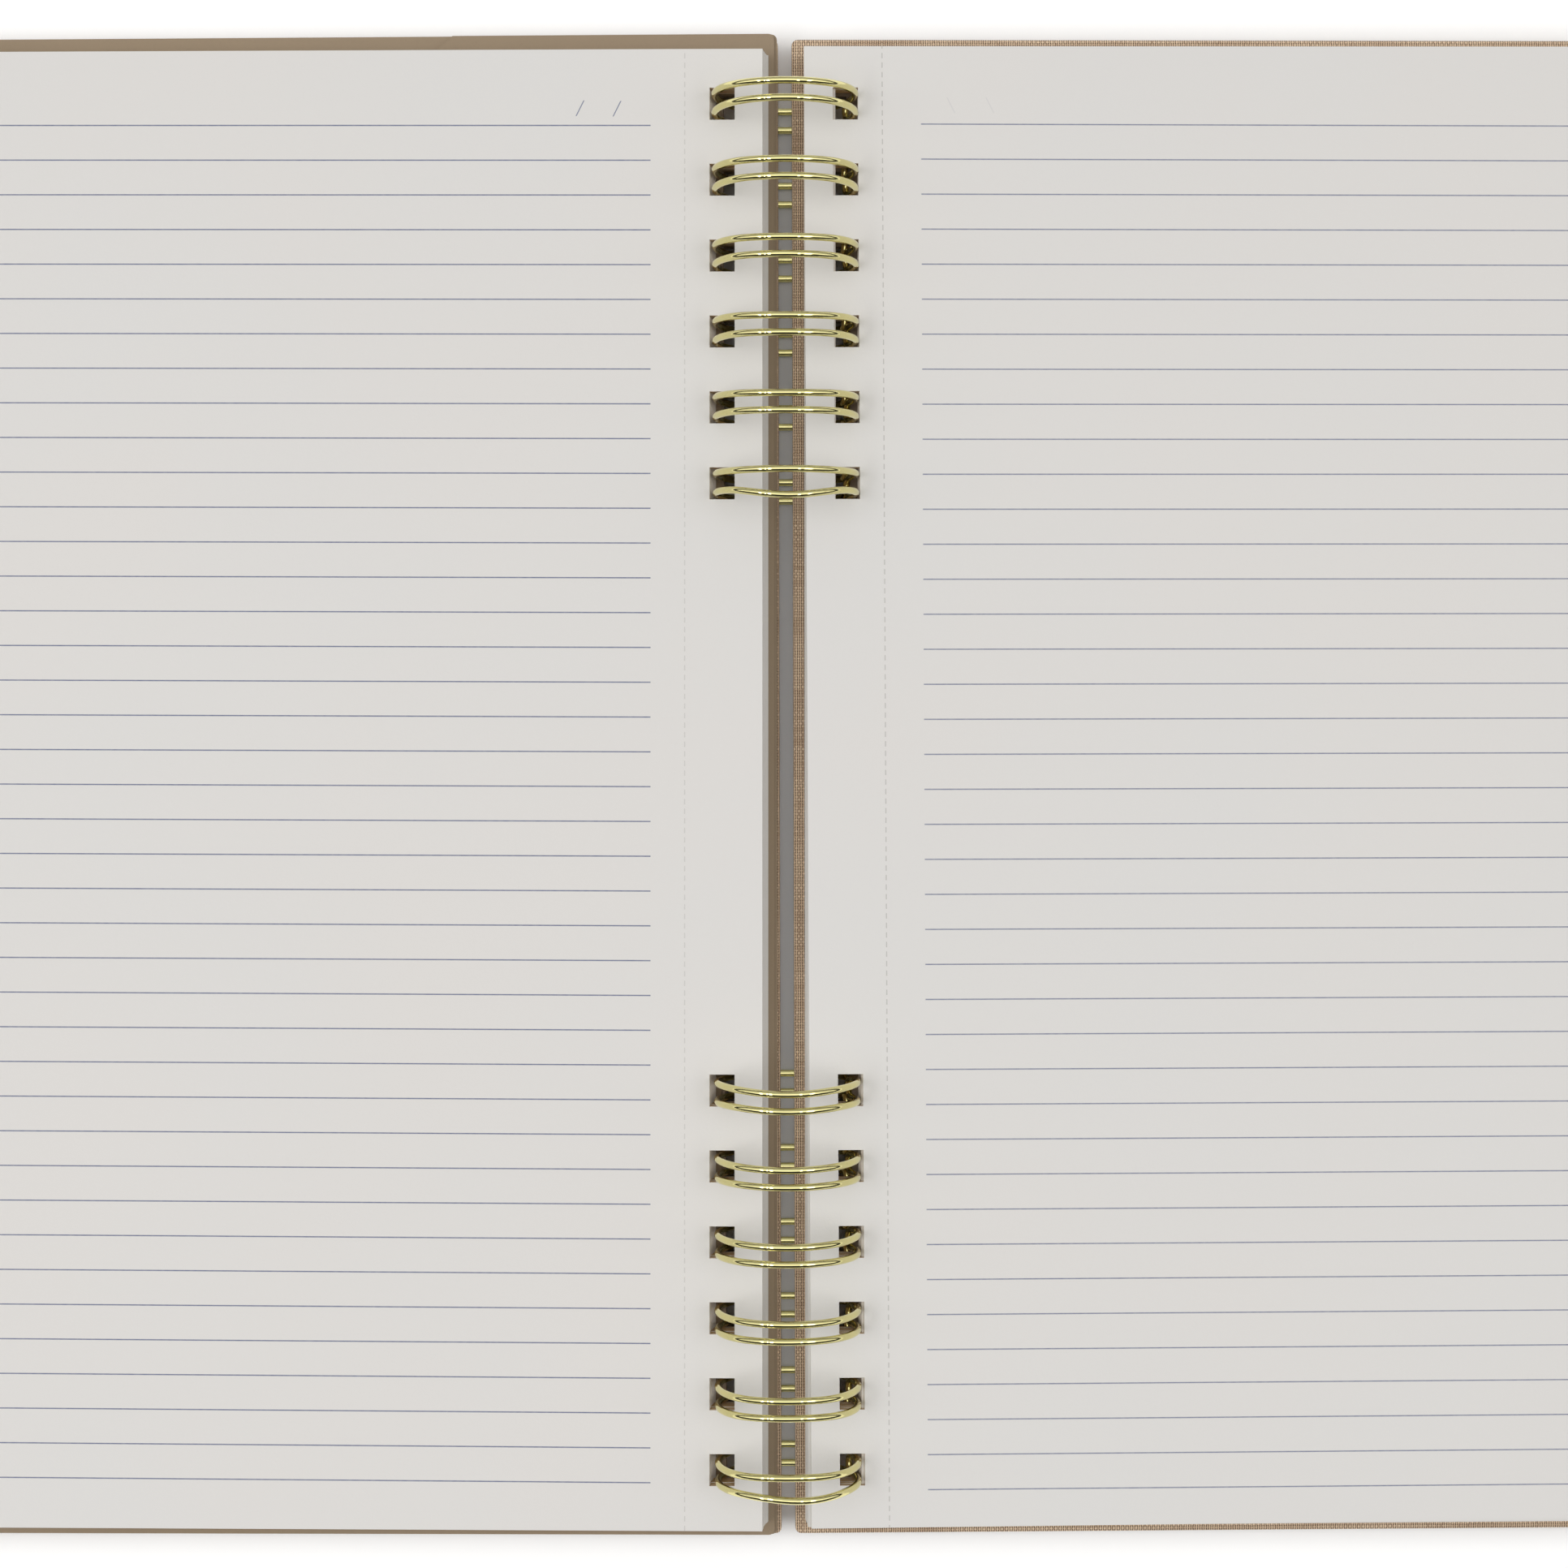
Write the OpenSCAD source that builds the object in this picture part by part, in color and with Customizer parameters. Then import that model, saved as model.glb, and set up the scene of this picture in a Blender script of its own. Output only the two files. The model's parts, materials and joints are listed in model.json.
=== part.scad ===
// Notebook with cloth-covered boards, bound by two combs of twin-loop wire and lying
// open on a table. Sizes are in millimetres: X runs across the open spread, Y along the
// spine and Z up. The rings stand on z = 0 and their common axis runs along Y.
//
// Each half is drawn flat, in a frame that has the ring axis along its own Y axis, x
// pointing away from the spine and z up. It is then let down about the ring axis by the
// one degree or so at which the outer edge of its cover meets the table. A hole or a
// wall that runs concentric with that axis stays clear of the wire as the half turns.

/* [Rings] */
// Diameter inside the closed rings
ring_inner_d = 22.2; // [21:0.1:26]
// Diameter of the wire
wire_d = 1.2; // [0.9:0.05:1.3]
// Distance from the middle of one pair of legs to the next
pitch = 12.7; // [12:0.1:13.5]
// Number of loops in each comb
loops = 6; // [2:1:6]
// Distance from the middle of the spine to the nearest loop of each comb
first_loop = 50.8; // [30:0.1:52]
// Distance between the two legs of a loop
leg_gap = 3.2; // [2.8:0.05:3.3]
// Bending radius where a leg turns into the straight wire along the seam
bend_r = 1; // [0.8:0.05:1.1]

/* [Covers] */
// How much taller a cover is than a sheet
cover_over_h = 5.4; // [3:0.1:12]
// How much wider a cover is than a sheet
cover_over_w = 6.35; // [4:0.05:12]
// Thickness of the board
board_t = 1.65; // [1.4:0.05:1.8]
// Thickness of the covering cloth
cloth_t = 0.3; // [0.2:0.05:0.35]
// Thickness of the paper that lines the inside
lining_t = 0.15; // [0.1:0.05:0.2]
// Width of the cloth that is turned in over the edges
turn_in = 14; // [11.5:0.5:20]
// Distance from the cover's edges to the lining
lining_margin = 4; // [3:0.5:8]
// Radius of the cover's corners
cover_corner_r = 1; // [0.8:0.1:4]
// Distance between the two covers at the spine
spine_gap = 2.3; // [1.6:0.1:2.6]
// Distance from a cover's spine edge to its holes
cover_hole_inset = 5.25; // [4.9:0.05:5.5]

/* [Punched holes] */
// Width of a hole, across the spread
hole_w = 4.2; // [4:0.05:4.6]
// Length of a hole, along the spine
hole_l = 5.35; // [5.1:0.05:6]

/* [Sheets] */
// Height of a sheet, along the spine
sheet_h = 248; // [240:0.1:300]
// Width of a sheet, across the spread
sheet_w = 184.15; // [140:0.05:230]
// Thickness of one sheet
sheet_t = 0.1; // [0.08:0.01:0.14]
// Distance from a sheet's spine edge to its holes
punch_margin = 4.8; // [3.5:0.05:5]
// How far out of square the sheets were punched, in degrees
punch_skew = 0.13; // [0:0.01:0.2]
// How far the left sheets lie out from the wire
left_slip = 0.45; // [0:0.05:0.6]
// How many times flatter than the ring the curve down the left sheets' edges is
left_flatness = 1.6; // [1:0.1:4]
// How many times flatter than the ring the curve down the right sheets' edges is
right_flatness = 2.6; // [1:0.1:4]

/* [Pocket folder] */
// How much taller the folder is than a cover
folder_over_h = 0.6; // [-2:0.1:1]
// How much narrower the folder is than a cover, from its spine edge to its fold
folder_under_w = 3.5; // [2:0.1:10]
// Thickness of its card
card_t = 0.35; // [0.25:0.05:0.4]
// Distance from the ring axis to the spine edge of the back panel
folder_edge = 1.7; // [1.4:0.05:2]
// How far the front panel's spine edge stands back from that of the back panel
panel_step = 0.45; // [0.2:0.05:0.8]
// Distance from the back panel's spine edge to the holes
folder_hole_inset = 5.2; // [5:0.05:5.4]
// Radius of the folder's corners at the spine
folder_corner_r = 1; // [0.5:0.1:2]
// Width of the front panel along its top edge, from the spine
panel_top_w = 55; // [25:1:120]
// Distance from the top of the folder down to where the slanted mouth meets the fold
mouth_drop = 110; // [40:1:180]
// Width of the glued strip along the bottom of the pocket
glue_w = 10; // [6:1:20]

/* [Hidden] */
$fn = 96;

// Clearances
lay_gap = 0.05;     // between sheets, folder and cover that lie on each other
wire_play = 0.1;    // between the wire and a hole's walls in a cover or the folder
sheet_play = 0.15;  // between the wire and the outer wall of the sheets' holes
end_play = 0.075;   // left between a leg and the end of a hole by what has slid along
tip_gap = 0.05;     // between a loop's tip and the bends that it nests between
axis_gap = 0.1;     // between the ring axis and the top of a stack of sheets
eps = 0.01;         // overshoot of a cut
joint_gap = 0.05;   // from the end of a stretch of wire to the middle of its joint
joint_swell = 0.02; // how far a joint stands out from the wire

// Outlines
cover_h = sheet_h + cover_over_h;
cover_w = sheet_w + cover_over_w;
folder_h = cover_h + folder_over_h;
folder_w = cover_w - folder_under_w;

// Rings
wire_r = wire_d / 2;
ring_in = ring_inner_d / 2;
ring_r = ring_in + wire_r;
ring_out = ring_in + wire_d;
axis_z = ring_out;
leg_y = leg_gap / 2;
root_r = sqrt(pow(ring_r, 2) + pow(bend_r, 2));
hole_wall_r = ring_out + sheet_play;

// Depths below the ring axis. The strip of cover between its holes and the spine rides
// on the wire, which sets how deep the cover lies.
cover_x = spine_gap / 2;
cover_hole_near = cover_x + cover_hole_inset;
cover_base = sqrt(pow(ring_in - wire_play, 2) - pow(cover_hole_near, 2));
cloth_outer_t = board_t + 2 * cloth_t;
cover_top = cover_base - cloth_outer_t - lining_t;
cover_hole_far = max(cover_hole_near + hole_w, sqrt(pow(ring_out + wire_play, 2) - pow(cover_top, 2)));

// The folder lies on the front cover, and the left sheets lie on the folder.
panel_gap = 0.1;
folder_t = 2 * card_t + panel_gap;
folder_base = cover_top - lay_gap;
folder_top = folder_base - folder_t;
folder_hole_near = folder_edge + folder_hole_inset;
folder_hole_far = max(folder_hole_near + hole_w, sqrt(pow(ring_out + wire_play, 2) - pow(folder_top, 2)));
left_base = folder_top - lay_gap;

// The wire's seam lies between the back cover and the right sheets, so these are lifted
// at the spine and slope down until their outer edge lies on the cover.
seam_depth = cover_top - lay_gap - wire_r;
seam_x = sqrt(pow(root_r, 2) - pow(seam_depth, 2));
right_lift = seam_depth - wire_r - lay_gap;
right_curve_r = right_flatness * hole_wall_r;
right_reach = sheet_w - hole_w - punch_margin + hole_wall_r - right_curve_r
    + sqrt(pow(right_curve_r, 2) - pow(right_lift, 2));
right_droop = asin((folder_base - right_lift) / (right_reach - seam_x));
right_base = seam_depth * cos(right_droop) - seam_x * sin(right_droop) - wire_r - lay_gap;

// Each stack holds as many whole sheets as fit below the ring axis.
left_count = floor((left_base - axis_gap) / sheet_t);
right_count = floor((right_base - axis_gap) / sheet_t);

// What slides along the spine goes as far as its holes let it: the folder up, and the
// left sheets down.
side_play = (hole_l - leg_gap - wire_d) / 2 - end_play;

// A half is let down until the outer lower edge of its cover is on the table.
cover_reach = cover_x + cover_w;
lower_edge_r = sqrt(pow(cover_base, 2) + pow(cover_reach, 2));
tilt = atan2(cover_reach, cover_base) - acos(axis_z / lower_edge_r);

// The middle of the whole along Y, which the folder's slide moves off the covers' own.
y_high = max(cover_h / 2, folder_h / 2 + side_play);
y_low = min(-cover_h / 2, side_play - folder_h / 2);
y_mid = (y_high + y_low) / 2;

// The seam. A leg starts at leg_start, below the root wire, and goes round the ring to
// tip_a, where the tip turns back. Both angles are measured up from the half's x axis.
leg_start = -asin(seam_depth / root_r) - atan(bend_r / ring_r);
root_a = -asin(seam_depth / root_r);
tip_reach = wire_d + tip_gap;
tip_rise = sqrt(tip_reach * (leg_gap + 2 * bend_r + tip_reach)) - bend_r;
tip_a = root_a + tip_rise / ring_r * 180 / PI;
// The first and last leg of a comb are cut off just short of the root wire.
cut_a = root_a - 0.5 * wire_r / ring_r * 180 / PI;

function loop_places(sign) = [for (i = [0 : loops - 1]) sign * (first_loop + i * pitch)];
ALL_LOOPS = concat(loop_places(1), loop_places(-1));

// Lowers a half that was drawn about the ring axis onto the table.
module right_half() {
    translate([0, -y_mid, axis_z]) rotate([0, tilt, 0]) children();
}

module left_half() {
    mirror([1, 0, 0]) right_half() children();
}

// Places what is drawn at a point of the ring: x points out, z along the wire.
module at_ring(angle) {
    rotate([0, -angle, 0]) translate([ring_r, 0, 0]) children();
}

// The stretches of wire stop just short of each other, inside a hair-thin swelling.
function trim(radius) = joint_gap / radius * 180 / PI;

module joint() {
    sphere(r = wire_r + joint_swell);
}

// A round bar bent in the plane of y and z, about the origin.
module bend(radius, from, turn) {
    rotate([90, 0, 90])
        rotate([0, 0, from + trim(radius)])
            rotate_extrude(angle = turn - 2 * trim(radius)) translate([radius, 0]) circle(d = wire_d);
}

// One leg, from the angle low counter-clockwise to high.
module leg(y, low, high) {
    translate([0, y, 0])
        rotate([90, 0, 0])
            rotate([0, 0, low + trim(ring_r)])
                rotate_extrude(angle = high - low - 2 * trim(ring_r))
                    translate([ring_r, 0]) circle(d = wire_d);
}

// The bend from a leg into the root wire, towards +y or -y by side.
module root_bend(side) {
    at_ring(leg_start) translate([0, side * leg_y, 0]) {
        joint();
        translate([0, side * bend_r, 0]) bend(bend_r, side > 0 ? 90 : 0, 90);
        translate([0, side * bend_r, bend_r]) joint();
    }
}

// One loop of a comb: two legs and the tip that joins them. Each leg either bends into
// the root wire or, at an end of the comb, is cut off.
module wire_loop(y, cut_low, cut_high) {
    leg(y - leg_y, tip_a, 360 + (cut_low ? cut_a : leg_start));
    leg(y + leg_y, tip_a, 360 + (cut_high ? cut_a : leg_start));
    translate([0, y, 0]) {
        at_ring(tip_a) {
            bend(leg_y, 180, 180);
            for (side = [-1, 1]) translate([0, side * leg_y, 0]) joint();
        }
        if (!cut_low) root_bend(-1);
        if (!cut_high) root_bend(1);
    }
}

// The straight wire along the seam from the loop at y to the next one above it.
module root_wire(y) {
    length = pitch - leg_gap - 2 * bend_r - 2 * joint_gap;
    translate([0, y + leg_y + bend_r + joint_gap, 0])
        at_ring(leg_start)
            translate([0, 0, bend_r]) rotate([-90, 0, 0]) cylinder(d = wire_d, h = length);
}

module wire_comb(low_y) {
    color([0.80, 0.78, 0.56])
        right_half() union() {
            for (i = [0 : loops - 1]) wire_loop(low_y + i * pitch, i == 0, i == loops - 1);
            for (i = [0 : loops - 2]) root_wire(low_y + i * pitch);
        }
}

module wire_comb_top() {
    wire_comb(first_loop);
}

module wire_comb_bottom() {
    wire_comb(-first_loop - (loops - 1) * pitch);
}

// A flat plate that starts at x and stands on z, with all four corners rounded.
module plate(x, z, w, h, t, r) {
    translate([x, -h / 2, z]) linear_extrude(t) {
        translate([r, 0]) square([w - 2 * r, h]);
        translate([0, r]) square([w, h - 2 * r]);
        for (cx = [r, w - r], cy = [r, h - r]) translate([cx, cy]) circle(r);
    }
}

// A plate of the cover's outline, drawn in by inset on all sides.
module cover_plate(inset, z, t) {
    plate(cover_x + inset, z, cover_w - 2 * inset, cover_h - 2 * inset, t,
        max(cover_corner_r - inset, 0.5));
}

// Upright rectangular holes at every loop, cut from x near to far.
module punch(near, far, low, high) {
    for (y = ALL_LOOPS) translate([near, y - hole_l / 2, low]) cube([far - near, hole_l, high - low]);
}

module cover_punch() {
    punch(cover_hole_near, cover_hole_far, -cover_base - 1, -cover_top + 1);
}

board_z = -cover_base + cloth_t;
turn_z = board_z + board_t;

module cover_board() {
    color([0.62, 0.58, 0.52]) difference() {
        cover_plate(cloth_t, board_z, board_t);
        cover_punch();
    }
}

// The cloth wraps the outside and the edges, and is turned in all round the inside.
module cover_cloth() {
    color([0.66, 0.57, 0.50]) difference() {
        cover_plate(0, -cover_base, cloth_outer_t);
        cover_plate(cloth_t, board_z, board_t);
        cover_plate(turn_in, turn_z - eps, cloth_t + 1);
        cover_punch();
    }
}

// The lining paper covers the turned-in cloth and drops onto the board between it.
module cover_lining() {
    color([0.70, 0.62, 0.55]) difference() {
        union() {
            cover_plate(lining_margin, turn_z + cloth_t, lining_t);
            cover_plate(turn_in, turn_z, cloth_t + lining_t);
        }
        cover_plate(turn_in + lining_t, turn_z + lining_t, cloth_t + 1);
        cover_punch();
    }
}

module back_cover_board() {
    right_half() cover_board();
}

module back_cover_cloth() {
    right_half() cover_cloth();
}

module back_cover_lining() {
    right_half() cover_lining();
}

module front_cover_board() {
    left_half() cover_board();
}

module front_cover_cloth() {
    left_half() cover_cloth();
}

module front_cover_lining() {
    left_half() cover_lining();
}

// The pocket folder is one card. Its back panel is folded round at the fore-edge into
// a front panel, which is glued down along the bottom and open along a slanted mouth.
module panel(x, z) {
    plate(x, z, folder_edge + folder_w - folder_t / 2 - x + folder_corner_r, folder_h, card_t,
        folder_corner_r);
}

module fold() {
    difference() {
        rotate([90, 0, 0]) cylinder(d = folder_t, h = folder_h, center = true);
        rotate([90, 0, 0]) cylinder(d = panel_gap, h = folder_h + 1, center = true);
        translate([-folder_t, 0, 0]) cube([2 * folder_t, folder_h + 1, 2 * folder_t], center = true);
    }
}

// What is cut from the front panel: all that lies beyond its slanted mouth. The cut
// runs on past the panel's top edge and past the fold.
module mouth() {
    high = [folder_edge + panel_top_w, folder_h / 2];
    low = [folder_edge + folder_w, folder_h / 2 - mouth_drop];
    run_on = (low - high) * 0.05;
    from = high - run_on;
    to = low + run_on;
    translate([0, 0, -folder_base + card_t + panel_gap / 2])
        linear_extrude(folder_t) polygon([from, to, [to[0], from[1]]]);
}

module pocket_folder() {
    fold_x = folder_edge + folder_w - folder_t / 2;
    color([0.58, 0.52, 0.44]) left_half() translate([0, side_play, 0]) difference() {
        union() {
            intersection() {
                union() {
                    panel(folder_edge, -folder_base);
                    panel(folder_edge + panel_step, -folder_base + card_t + panel_gap);
                }
                translate([0, -folder_h / 2, -folder_base]) cube([fold_x, folder_h, folder_t]);
            }
            translate([fold_x, 0, -folder_base + folder_t / 2]) fold();
            translate([fold_x / 2, -folder_h / 2, -folder_base + card_t])
                cube([fold_x / 2, glue_w, panel_gap]);
        }
        mouth();
        translate([0, -side_play, 0])
            punch(folder_hole_near, folder_hole_far, -folder_base - 1, -folder_top + 1);
    }
}

// A stack of sheets. The top one hangs on the outside of the wire and each lower one lies
// a little further in, so the spine edge, the fore-edge and the walls of the holes are
// equal curves, each given by the place of its centre.
module stack(count, base, slip, curve_r) {
    t = count * sheet_t;
    hole_x = hole_wall_r - curve_r + slip;
    edge_x = hole_x - hole_w - punch_margin;
    difference() {
        rotate([0, 0, punch_skew]) difference() {
            intersection() {
                union() {
                    translate([edge_x, -sheet_h / 2, -base]) cube([sheet_w, sheet_h, t]);
                    translate([edge_x + sheet_w, 0, 0])
                        rotate([90, 0, 0]) cylinder(r = curve_r, h = sheet_h, center = true);
                }
                translate([edge_x, -sheet_h / 2, -base])
                    cube([sheet_w + 2 * curve_r, sheet_h, t]);
            }
            translate([edge_x, 0, 0])
                rotate([90, 0, 0]) cylinder(r = curve_r, h = sheet_h + 1, center = true);
        }
        for (y = ALL_LOOPS) translate([hole_x, y, 0]) sheet_hole(curve_r);
    }
}

// A hole through the stack is bounded by two equal curved walls, a hole's width apart.
module sheet_hole(curve_r) {
    rotate([90, 0, 0]) difference() {
        cylinder(r = curve_r, h = hole_l, center = true);
        translate([-hole_w, 0, 0]) cylinder(r = curve_r, h = hole_l + 1, center = true);
    }
}

module left_pages() {
    color([0.86, 0.85, 0.83])
        left_half() translate([0, -side_play, 0])
            stack(left_count, left_base, left_slip, left_flatness * hole_wall_r);
}

module right_pages() {
    color([0.88, 0.87, 0.85])
        right_half() rotate([0, right_droop, 0])
            stack(right_count, right_base, 0, right_curve_r);
}

back_cover_board();
back_cover_cloth();
back_cover_lining();
wire_comb_top();
wire_comb_bottom();
front_cover_board();
front_cover_cloth();
front_cover_lining();
pocket_folder();
left_pages();
right_pages();
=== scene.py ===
# %% [markdown]
# An open spiral notebook
#
# The notebook lies open and is looked at from straight above: two stacks of ruled
# sheets, two boards covered in woven cloth, a smooth pocket folder on the left, and two
# combs of pale gold wire. The imported model already holds every piece at its real size
# and place. This lesson keeps that frame and gives each piece the look it has in the
# hand. The first cell loads the frame.

# %% Load the frame
import json
import math
import random

import bmesh
import bpy
from mathutils import Matrix, Vector


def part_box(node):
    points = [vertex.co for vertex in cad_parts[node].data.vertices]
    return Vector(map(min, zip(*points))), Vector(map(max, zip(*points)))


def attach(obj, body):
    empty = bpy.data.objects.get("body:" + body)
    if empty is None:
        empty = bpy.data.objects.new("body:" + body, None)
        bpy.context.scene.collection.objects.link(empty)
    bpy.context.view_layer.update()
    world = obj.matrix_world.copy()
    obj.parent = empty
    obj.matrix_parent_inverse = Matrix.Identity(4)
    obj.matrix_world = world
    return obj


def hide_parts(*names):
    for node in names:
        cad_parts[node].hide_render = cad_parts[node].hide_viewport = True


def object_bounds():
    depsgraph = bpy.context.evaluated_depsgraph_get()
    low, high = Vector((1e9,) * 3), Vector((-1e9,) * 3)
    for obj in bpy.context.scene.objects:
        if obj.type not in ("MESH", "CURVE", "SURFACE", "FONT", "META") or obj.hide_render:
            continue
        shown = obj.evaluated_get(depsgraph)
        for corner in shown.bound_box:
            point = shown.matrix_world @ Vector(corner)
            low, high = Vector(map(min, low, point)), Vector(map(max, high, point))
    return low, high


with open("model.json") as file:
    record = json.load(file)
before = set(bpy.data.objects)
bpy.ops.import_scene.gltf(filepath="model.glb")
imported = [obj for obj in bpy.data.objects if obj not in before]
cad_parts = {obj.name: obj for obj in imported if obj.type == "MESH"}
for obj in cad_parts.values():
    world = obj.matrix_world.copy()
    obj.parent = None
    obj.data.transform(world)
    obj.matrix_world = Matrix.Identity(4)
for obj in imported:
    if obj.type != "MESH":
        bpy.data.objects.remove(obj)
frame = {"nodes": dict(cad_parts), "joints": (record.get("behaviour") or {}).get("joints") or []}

bpy.ops.object.select_all(action="DESELECT")
cad_low, cad_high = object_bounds()
print("CAD box in mm:", [round(1000 * size, 2) for size in cad_high - cad_low])

# %% [markdown]
# Sizes
#
# Every size is in metres. A handful of driving sizes is written down, and the rest is
# worked out from them and from the frame, so that each new piece lands on the solid it
# stands for. Both halves of the notebook are drawn flat, in a frame whose origin is the
# ring axis and whose x axis points away from the spine. They are then let down onto the
# table about that axis, by the one degree at which the cover's outer edge touches it.
# Two of the sizes are no part's own: WIRE_PLAY is the room between the wire and the wall
# of a hole, and points closer together than NEAR count as one place.

# %% Driving sizes
MM = 0.001
AXIS_Z = frame["joints"][0]["pos_m"][2]
WIRE_R = 0.6 * MM
RING_R = AXIS_Z - WIRE_R
PITCH = 12.7 * MM
LOOPS = 6
FIRST_LOOP = 50.8 * MM
LEG_Y = 1.6 * MM
BEND_R = 1.0 * MM
COVER_W = 190.35 * MM
COVER_X = 1.3 * MM
COVER_HOLE_INSET = 5.1 * MM
CLOTH_T = 0.3 * MM
BOARD_T = 1.65 * MM
LINING_T = 0.15 * MM
TURN_IN = 14 * MM
HOLE_W = 4.2 * MM
HOLE_L = 5.35 * MM
SHEET_W = 184.15 * MM
SHEET_H = 248 * MM
SHEET_PITCH = 0.1 * MM
LEFT_MARGIN = 4.65 * MM
RIGHT_MARGIN = 4.8 * MM
SHEET_TURN = math.radians(0.15)
HOLE_WALL_R = 12.45 * MM
LEFT_FLATNESS = 1.6
RIGHT_FLATNESS = 2.6
LAY_GAP = 0.05 * MM
SIDE_PLAY = 0.4 * MM
WIRE_PLAY = 0.1 * MM
NEAR = 0.01 * MM

# %% Places worked out from them
cloth_low, cloth_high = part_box("back_cover_cloth")
COVER_H = cloth_high.y - cloth_low.y
Y_MID = (cloth_high.y + cloth_low.y) / 2
COVER_HOLE = COVER_X + COVER_HOLE_INSET
COVER_BASE = math.sqrt((RING_R - WIRE_R - WIRE_PLAY) ** 2 - COVER_HOLE ** 2)
COVER_REACH = COVER_X + COVER_W
TILT = math.atan2(COVER_REACH, COVER_BASE) - math.acos(AXIS_Z / math.hypot(COVER_BASE, COVER_REACH))
COVER_TOP = COVER_BASE - BOARD_T - 2 * CLOTH_T - LINING_T
LOOP_PLACES = [side * (FIRST_LOOP + i * PITCH) for side in (1, -1) for i in range(LOOPS)]

RIGHT_HALF = Matrix.Translation((0, Y_MID, AXIS_Z)) @ Matrix.Rotation(TILT, 4, "Y")
LEFT_HALF = Matrix.Diagonal((-1, 1, 1, 1)) @ RIGHT_HALF
print("tilt of a half in degrees:", round(math.degrees(TILT), 3))

# %% [markdown]
# The camera
#
# The photograph was taken from half a metre above the table, looking straight down. In
# such a view the point right below the lens is the one place without parallax, and its
# pixel in the 1932-pixel photograph gives the small shift of the camera. The focal
# length in pixels comes from the 12.7 mm pitch of the rings.

# %% Camera
PHOTO_PX = 1932
FOCAL_PX = 3481
BELOW_LENS_PX = (969, 895)
CAMERA_PLACE = (0, 9.85 * MM, 484.6 * MM)
CAMERA_ROLL = math.radians(-0.146)

bpy.ops.object.camera_add(location=CAMERA_PLACE, rotation=(0, 0, CAMERA_ROLL))
camera = bpy.context.object
camera.name = "camera"
camera.data.sensor_width = 36
camera.data.lens = 36 * FOCAL_PX / PHOTO_PX
camera.data.shift_x = (PHOTO_PX / 2 - BELOW_LENS_PX[0]) / PHOTO_PX
camera.data.shift_y = (BELOW_LENS_PX[1] - PHOTO_PX / 2) / PHOTO_PX
camera.data.clip_start = 0.01
bpy.context.scene.camera = camera
print("lens in mm:", round(camera.data.lens, 2))

# %% [markdown]
# Shader maths in Python
#
# A material is a tree of nodes, and long formulas are hard to follow as nodes. Three
# small classes make them readable. Shading is any tree, and its node method adds a node.
# A Value wraps one socket of that tree, so that a sum or a product of values adds the
# Math nodes by itself. A Finish is the tree of one material. Inside a finish all lengths
# are in millimetres, except the depth of a relief.

# %% Values and finishes
class Value:
    """One socket of a shading tree, for use in Python arithmetic."""

    def __init__(self, finish, socket):
        self.finish = finish
        self.socket = socket

    def maths(self, operation, *inputs):
        return self.finish.node("ShaderNodeMath", {"operation": operation}, dict(enumerate(inputs)))

    def __add__(self, other):
        return self.maths("ADD", self, other)

    def __radd__(self, other):
        return self.maths("ADD", other, self)

    def __sub__(self, other):
        return self.maths("SUBTRACT", self, other)

    def __rsub__(self, other):
        return self.maths("SUBTRACT", other, self)

    def __mul__(self, other):
        return self.maths("MULTIPLY", self, other)

    def __rmul__(self, other):
        return self.maths("MULTIPLY", other, self)

    def __truediv__(self, other):
        return self.maths("DIVIDE", self, other)

    def __pow__(self, other):
        return self.maths("POWER", self, other)

    def __abs__(self):
        return self.maths("ABSOLUTE", self)

    def sine(self):
        return self.maths("SINE", self)

    def fraction(self):
        return self.maths("FRACT", self)

    def angle_from(self, other):
        return self.maths("ARCTAN2", self, other)

    def larger(self, other):
        return self.maths("MAXIMUM", self, other)

    def smaller(self, other):
        return self.maths("MINIMUM", self, other)

    def rise(self, low, high):
        """Zero below low, one above high and smooth between them."""
        settings = {"interpolation_type": "SMOOTHSTEP"}
        return self.finish.node("ShaderNodeMapRange", settings, {0: self, 1: low, 2: high})

    def band(self, half_width, soft):
        """One where the value is within half_width of zero."""
        return 1 - abs(self).rise(half_width - soft, half_width + soft)


class Shading:
    """A tree of shader nodes."""

    def __init__(self, tree):
        self.tree = tree

    def node(self, kind, settings, values, output=0):
        made = self.tree.nodes.new(kind)
        for name, setting in settings.items():
            if name == "stops":
                self.set_stops(made.color_ramp, setting)
            else:
                setattr(made, name, setting)
        for name, value in values.items():
            self.feed(made.inputs[name], value)
        return Value(self, made.outputs[output])

    def set_stops(self, ramp, stops):
        while len(ramp.elements) < len(stops):
            ramp.elements.new(1)
        for element, (place, colour) in zip(ramp.elements, stops):
            element.position = place
            element.color = (*colour, 1)

    def feed(self, socket, value):
        if isinstance(value, Value):
            self.tree.links.new(value.socket, socket)
        else:
            socket.default_value = value

    def split(self, vector):
        sockets = self.node("ShaderNodeSeparateXYZ", {}, {0: vector}).socket.node.outputs
        return [Value(self, sockets[axis]) for axis in ("X", "Y", "Z")]

    def point(self, x, y, z):
        return self.node("ShaderNodeCombineXYZ", {}, {0: x, 1: y, 2: z})

    def noise(self, at, size, detail=2.0, rough=0.5):
        """Noise from 0 to 1 with spots of about the given size in millimetres."""
        values = {"Vector": at, "Scale": 1 / size, "Detail": detail, "Roughness": rough}
        return self.node("ShaderNodeTexNoise", {}, values)

    def mix(self, factor, first, second):
        """A colour between two colours."""
        values = {0: factor, 6: first, 7: second}
        return self.node("ShaderNodeMix", {"data_type": "RGBA"}, values, 2)

    def bump(self, height, depth):
        """A normal for a relief of the given depth in metres."""
        return self.node("ShaderNodeBump", {}, {"Height": height, "Distance": depth, "Strength": 1.0})


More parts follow.
